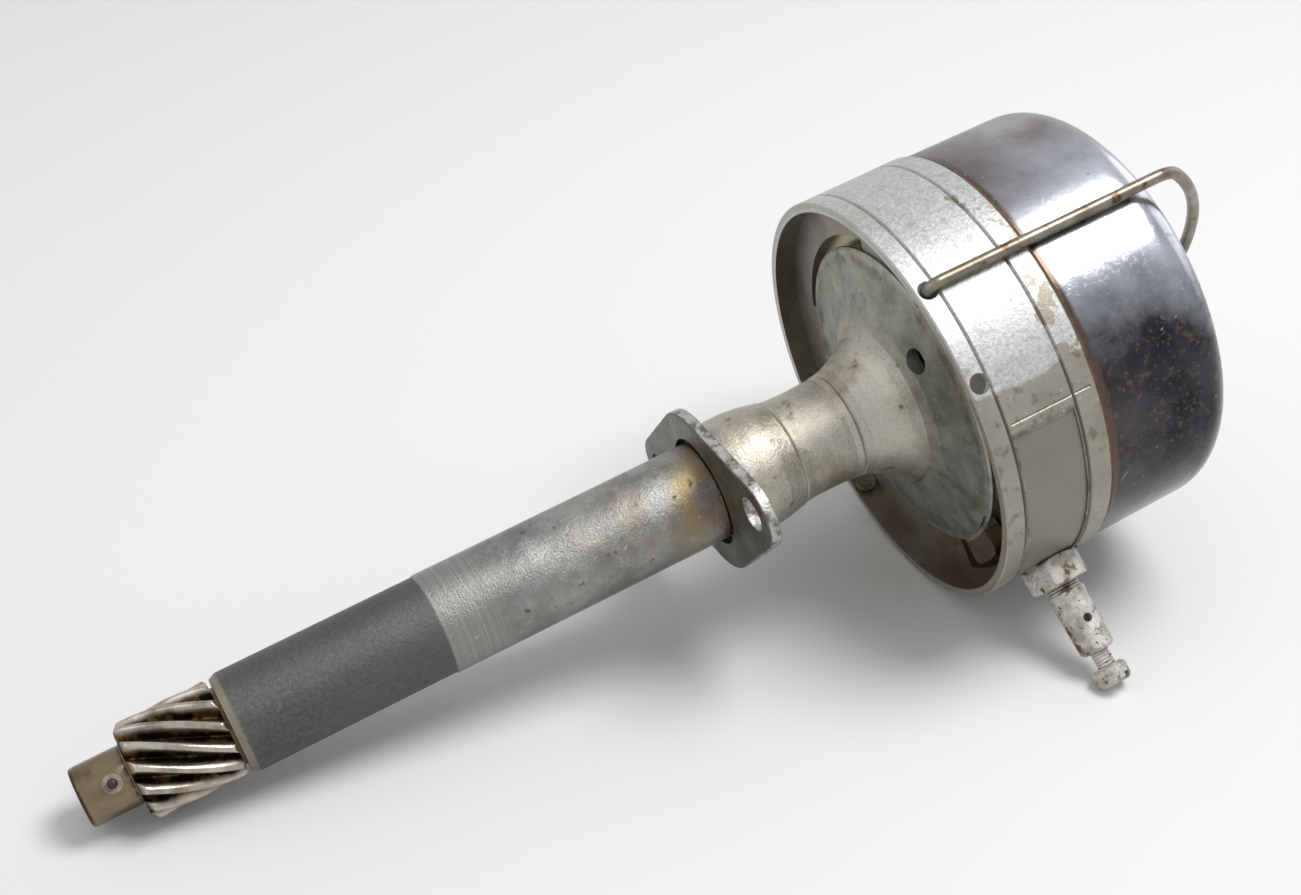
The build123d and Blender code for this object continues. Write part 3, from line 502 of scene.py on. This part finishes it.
skin = over(tree, skin, colour(0.13, 0.105, 0.075),
            times(tree, dirt, either(tree, 0.35, 0.75, beside_scribe)))
cutting = times(tree, span(tree, radius, GROOVE_R + 0.00025, GROOVE_R),
                span(tree, radius, GROOVE_R - 0.0007, GROOVE_R - 0.0005))
in_groove = times(tree, cutting, span(tree, height, GROOVE_TOP_Z, GROOVE_TOP_Z - 0.0005))
skin = over(tree, skin, colour(0.23, 0.215, 0.18),
            times(tree, in_groove, either(tree, 0.30, 0.9, beside_scribe)))
rim_edge = times(tree, span(tree, height, RIM_Z + 0.0003, RIM_Z), span(tree, radius, RIM_R, RIM_R + 0.0004))
skin = over(tree, skin, colour(0.40, 0.38, 0.33), times(tree, rim_edge, cloud))
mouth = times(tree, span(tree, radius, MOUTH_R + CRISP, MOUTH_R),
              span(tree, height, FLOOR_Z + 0.0004, FLOOR_Z))
wander = shifted(tree, azimuth, cloud, 0.3)
rust_side = times(tree, span(tree, wander, RUSTY_START_AZ, RUSTY_START_AZ + 0.2),
                  span(tree, azimuth, RUSTY_END_AZ, RUSTY_END_AZ - 0.2))
rust = over(tree, colour(0.115, 0.074, 0.048), colour(0.180, 0.130, 0.090),
            effect(tree, BLOTCH, place, Scale=160.0, Low=0.42, High=0.6, Seed=4.0))
worn_wall = over(tree, colour(0.250, 0.220, 0.175), colour(0.155, 0.120, 0.085), cloud)
skin = over(tree, skin, over(tree, worn_wall, rust, rust_side), mouth)
floor_face = times(tree, span(tree, radius, FLOOR_R + CRISP, FLOOR_R),
                   span(tree, height, FLOOR_Z + 0.00005, FLOOR_Z + 0.00009))
dusty = over(tree, colour(0.30, 0.295, 0.265), colour(0.19, 0.165, 0.130), cloud)
skin = over(tree, skin, over(tree, dusty, rust, rust_side), floor_face)
rubbed = effect(tree, SCRATCH, place, Scale=800.0, Turn=0.9, Width=0.15, Share=0.40)
skin = over(tree, skin, colour(0.62, 0.60, 0.55),
            times(tree, rubbed, either(tree, 0.25, 0.7, beside_scribe)))
tree.links.new(skin, shader.inputs["Base Color"])
rough = either(tree, either(tree, 0.36, 0.52, grain), 0.40, beside_scribe)
tree.links.new(rough, shader.inputs["Roughness"])
bumped(tree, shader, either(tree, grain, cloud, 0.3), 0.00005)
dress(ring_skin, "ring_paint", "head_ring")

# ---- Breaker works -----------------------------------------------------------------------
# The contact breaker under the cover: brown laminate insulators, dark tungsten points, a
# drawn aluminium condenser and its black lead, and a brass terminal through the wall.
laminate = patchy("brown_laminate", 0.0, 0.5, colour(0.16, 0.075, 0.035), colour(0.09, 0.04, 0.02),
                  Scale=200.0, Low=0.4, High=0.6, Seed=1.0)
dress(laminate, "phenolic", "rubbing_block", "spring_anchor", "terminal_insulator")
tungsten = plain("dark_tungsten", 1.0, 0.4, colour(0.27, 0.27, 0.29))
dress(tungsten, "contact_metal", "moving_contact", "fixed_contact")
can = patchy("drawn_can", 1.0, 0.3, colour(0.60, 0.60, 0.59), colour(0.42, 0.41, 0.38),
             Scale=90.0, Low=0.4, High=0.65, Seed=1.0)
dress(can, "can_metal", "condenser")
dress(plain("black_lead", 0.0, 0.6, colour(0.03, 0.03, 0.03)), "lead_rubber", "condenser_lead")
dull_brass = patchy("dull_brass", 1.0, 0.36, colour(0.40, 0.30, 0.15), colour(0.20, 0.145, 0.075),
                    Scale=220.0, Low=0.46, High=0.62, Seed=1.0)
dress(dull_brass, "brass", "terminal_stud", "terminal_inner_nut", "terminal_nut_1", "terminal_nut_2",
      "terminal_washer", "terminal_strip")

# ---- Control post ------------------------------------------------------------------------
# A zinc-plated steel post screwed into the wall: hexagon, barrel with a cross hole for the
# control wire, and a slotted screw that grips it. White corrosion and rust spots cover it.
zinc, tree, shader, place = metal("corroded_zinc", 0.55, 0.5)
white = over(tree, colour(0.36, 0.345, 0.30), colour(0.62, 0.60, 0.555),
             effect(tree, BLOTCH, place, Scale=300.0, Low=0.42, High=0.56, Seed=1.0))
white = over(tree, white, colour(0.150, 0.090, 0.050),
             effect(tree, BLOTCH, place, Scale=360.0, Low=0.545, High=0.60, Seed=2.0))
white = over(tree, white, colour(0.05, 0.038, 0.030),
             effect(tree, BLOTCH, place, Scale=620.0, Low=0.60, High=0.64, Seed=3.0))
tree.links.new(white, shader.inputs["Base Color"])
bumped(tree, shader, effect(tree, BLOTCH, place, Scale=700.0, Low=0.3, High=0.7, Seed=5.0), 0.00025)
dress(zinc, "zinc", "control_post", "post_clamp_screw")

# ---- Gasket and cover --------------------------------------------------------------------
# The cover is deep-drawn steel in old chrome. It is brown along its mouth and upper left,
# clear on the shoulder, and its lower side carries a painted dark reflection and fine rust.
cork = patchy("gasket_board", 0.0, 0.8, colour(0.13, 0.075, 0.04), colour(0.07, 0.04, 0.025),
              Scale=500.0, Low=0.4, High=0.6, Seed=1.0)
dress(cork, "cork", "cover_gasket")
# Heights of the stained band at the mouth and of the painted shade band above it, and
# azimuths, in radians, of the tarnished, painted-dark and rusty sectors.
STAIN_FADE_Z, STAIN_FULL_Z, SHADE_FADE_Z, SHADE_FULL_Z = 0.0585, 0.0578, 0.0680, 0.0570
BROWN_START_AZ, BROWN_FULL_AZ, BROWN_FADE_AZ, BROWN_GONE_AZ = -0.55, -1.15, -2.6, -2.9
DARK_START_AZ, DARK_FULL_AZ, DARK_FADE_AZ, DARK_GONE_AZ = -0.28, 0.22, 2.6, 3.0
RUST_START_AZ, RUST_FULL_AZ, RUST_FADE_AZ, RUST_GONE_AZ = -0.35, 0.05, 0.55, 1.05
chrome, tree, shader, place = metal("old_chrome", 1.0, 0.12)
height, _, azimuth = parts_of(tree, place)
cloud = effect(tree, BLOTCH, place, Scale=45.0, Low=0.30, High=0.70, Seed=1.0)
wisps = effect(tree, BLOTCH, place, Scale=110.0, Low=0.42, High=0.68, Seed=9.0)
clear = over(tree, colour(0.52, 0.55, 0.61), colour(0.29, 0.305, 0.345), wisps)
brown = over(tree, colour(0.215, 0.185, 0.180), colour(0.36, 0.34, 0.345),
             effect(tree, BLOTCH, place, Scale=75.0, Low=0.40, High=0.62, Seed=2.0))
wander = shifted(tree, azimuth, cloud, 0.5)
upper_left = times(tree, span(tree, wander, BROWN_START_AZ, BROWN_FULL_AZ),
                   span(tree, azimuth, BROWN_GONE_AZ, BROWN_FADE_AZ))
skin = over(tree, clear, brown, upper_left)
# Painted reflection: the lower sectors are painted near-black in patches, a dark surround mirrored in the
# chrome.
lower = times(tree, span(tree, wander, DARK_START_AZ, DARK_FULL_AZ),
              span(tree, azimuth, DARK_GONE_AZ, DARK_FADE_AZ))
dark = over(tree, colour(0.018, 0.018, 0.023), colour(0.060, 0.057, 0.066),
            effect(tree, BLOTCH, place, Scale=90.0, Low=0.40, High=0.64, Seed=3.0))
skin = over(tree, skin, dark, lower)
fringe = times(tree, span(tree, wander, RUST_START_AZ, RUST_FULL_AZ),
               span(tree, wander, RUST_GONE_AZ, RUST_FADE_AZ))
fringe = times(tree, fringe, effect(tree, BLOTCH, place, Scale=900.0, Low=0.54, High=0.64, Seed=5.0))
crust = over(tree, colour(0.095, 0.060, 0.040), colour(0.200, 0.150, 0.110),
             effect(tree, GRAIN, place, Scale=1500.0, Contrast=0.2))
skin = over(tree, skin, crust, times(tree, fringe, either(tree, 0.35, 0.95, cloud)))
mouth_band = span(tree, shifted(tree, height, cloud, -0.0012), STAIN_FADE_Z, STAIN_FULL_Z)
skin = over(tree, skin, colour(0.105, 0.070, 0.052), mouth_band)
# Painted shade: a dark band fades out upward from the mouth and is strongest on the upper left.
shade_band = span(tree, shifted(tree, height, cloud, -0.006), SHADE_FADE_Z, SHADE_FULL_Z)
skin = over(tree, skin, colour(0.120, 0.098, 0.095),
            times(tree, shade_band, either(tree, 0.15, 0.8, upper_left)))
skin = over(tree, skin, colour(0.24, 0.20, 0.18),
            effect(tree, SPECK, place, Scale=620.0, Size=0.26, Cover=0.53, Seed=6.0))
lines = effect(tree, SCRATCH, place, Scale=620.0, Turn=1.1, Width=0.13, Share=0.35)
crossed = effect(tree, SCRATCH, place, Scale=520.0, Turn=2.5, Width=0.11, Share=0.30)
skin = over(tree, skin, colour(0.62, 0.62, 0.63), times(tree, larger(tree, lines, crossed), 0.55))
tree.links.new(skin, shader.inputs["Base Color"])
dull = either(tree, 0.17, 0.28, wisps)
dull = either(tree, dull, 0.30, upper_left)
dull = either(tree, dull, 0.20, lower)
dull = either(tree, dull, 0.52, fringe)
tree.links.new(dull, shader.inputs["Roughness"])
dents = effect(tree, BLOTCH, place, Scale=60.0, Low=0.2, High=0.8, Seed=8.0)
bumped(tree, shader, either(tree, dents, fringe, 0.12), 0.00010)
dress(chrome, "chrome", "cover")

# ---- Bail --------------------------------------------------------------------------------
# One length of spring wire bent to a hoop, its ends turned into the wall's two holes and
# peened over inside. It is brown with age and brighter where it has rubbed.
wire, tree, shader, place = metal("brown_wire", 1.0, 0.36)
skin = over(tree, colour(0.175, 0.145, 0.108), colour(0.31, 0.28, 0.235),
            effect(tree, BLOTCH, place, Scale=120.0, Low=0.42, High=0.62, Seed=1.0))
skin = over(tree, skin, colour(0.09, 0.055, 0.035),
            effect(tree, BLOTCH, place, Scale=260.0, Low=0.56, High=0.64, Seed=2.0))
tree.links.new(skin, shader.inputs["Base Color"])
dress(wire, "wire_steel", "cover_bail")

# ---- Floor, lamps and camera -------------------------------------------------------------
# The part lies on a pale floor, on the edge of its ring and the end of its gear. The floor
# shows from above only and fades out, so it hides nothing from the other sides.
FLOOR_UP = np.array([0.4028, -0.8920, 0.2052])
FLOOR_UP /= np.linalg.norm(FLOOR_UP)
FLOOR_DROP, FLOOR_REACH, FLOOR_SIDES = -0.0301, 1.6, 96
FADE_START, FADE_END = 0.75, 1.3  # distances over which the floor fades out
side = np.cross(FLOOR_UP, [0.0, 0.0, 1.0])
side /= np.linalg.norm(side)
along = np.cross(side, FLOOR_UP)
centre = FLOOR_UP * FLOOR_DROP
turn = np.linspace(0.0, 2 * np.pi, FLOOR_SIDES + 1)[:-1]
rim = centre + FLOOR_REACH * (np.cos(turn)[:, None] * along + np.sin(turn)[:, None] * side)
ground_mesh = bpy.data.meshes.new("ground")
ground_mesh.from_pydata(rim.tolist(), [], [list(range(FLOOR_SIDES))])
if np.dot(np.array(ground_mesh.polygons[0].normal), FLOOR_UP) < 0:
    ground_mesh.flip_normals()
ground = bpy.data.objects.new("ground", ground_mesh)
bpy.context.scene.collection.objects.link(ground)
pale, tree, shader, place = metal("pale_floor", 0.0, 0.9)
shader.inputs["Base Color"].default_value = colour(0.80, 0.80, 0.79)
shader.inputs["Specular IOR Level"].default_value = 0.1
away = node(tree, "ShaderNodeVectorMath", {0: place}, operation="LENGTH").outputs["Value"]
from_below = node(tree, "ShaderNodeNewGeometry").outputs["Backfacing"]
hidden = larger(tree, from_below, span(tree, away, FADE_START, FADE_END))
clear_film = node(tree, "ShaderNodeBsdfTransparent")
shown = node(tree, "ShaderNodeMixShader", {0: hidden, 1: shader.outputs[0], 2: clear_film.outputs[0]})
tree.links.new(shown.outputs[0], tree.nodes["Material Output"].inputs["Surface"])
ground_mesh.materials.append(pale)

ROOM_LIGHT, ROOM_SEEN = 0.50, 0.86  # strength of the room as light, and as seen or mirrored
world = bpy.data.worlds.new("pale_room")
bpy.context.scene.world = world
world.use_nodes = True
tree = world.node_tree
tree.nodes.clear()
path = node(tree, "ShaderNodeLightPath").outputs
seen = larger(tree, path["Is Camera Ray"], path["Is Glossy Ray"])
seen = larger(tree, seen, path["Is Transmission Ray"])
strength = either(tree, ROOM_LIGHT, ROOM_SEEN, seen)
air = node(tree, "ShaderNodeBackground", {"Color": colour(0.97, 0.98, 1.0), "Strength": strength})
node(tree, "ShaderNodeOutputWorld", {"Surface": air.outputs[0]})

CAMERA_AT = np.array([0.33051, -0.11144, -0.09317])
CAMERA_RIGHT = np.array([0.33718, 0.35304, 0.87274])
CAMERA_UP = np.array([-0.15903, -0.89234, 0.42241])
CAMERA_BACK = np.array([0.92791, -0.28122, -0.24473])
LENS_MM, SENSOR_MM = 58.11, 36.0


def stand_at(thing, right, up, back, at):
    """Puts a camera or lamp at a place, with its three axes given."""
    matrix = np.eye(4)
    matrix[:3, 0], matrix[:3, 1], matrix[:3, 2], matrix[:3, 3] = right, up, back, at
    thing.matrix_world = Matrix(matrix.tolist())
    bpy.context.scene.collection.objects.link(thing)


camera = bpy.data.cameras.new("camera")
camera.lens, camera.sensor_width = LENS_MM, SENSOR_MM
camera.clip_start, camera.clip_end = 0.01, 20.0
eye = bpy.data.objects.new("camera", camera)
stand_at(eye, CAMERA_RIGHT, CAMERA_UP, CAMERA_BACK, CAMERA_AT)
bpy.context.scene.camera = eye

TARGET = np.array([0.0, 0.0, 0.030])
# Each lamp: how far up, right and back of the part as the camera sees it, then distance, size, watts.
LAMPS = {"key": (0.75, 0.35, 0.55, 0.75, 0.42, 4.2), "rim": (0.55, 0.75, -0.35, 0.85, 0.65, 0.9),
         "fill": (0.25, -0.80, 0.55, 0.80, 0.60, 0.7)}
for label, (rise, right, back, distance, size, power) in LAMPS.items():
    toward = rise * CAMERA_UP + right * CAMERA_RIGHT + back * CAMERA_BACK
    toward /= np.linalg.norm(toward)
    lamp = bpy.data.lights.new(label, "AREA")
    lamp.shape, lamp.size, lamp.energy = "DISK", size, power
    across = np.cross(CAMERA_UP, toward)
    across /= np.linalg.norm(across)
    stand = bpy.data.objects.new(label, lamp)
    stand_at(stand, across, np.cross(toward, across), toward, TARGET + toward * distance)

view = bpy.context.scene.view_settings
view.view_transform = "Standard"
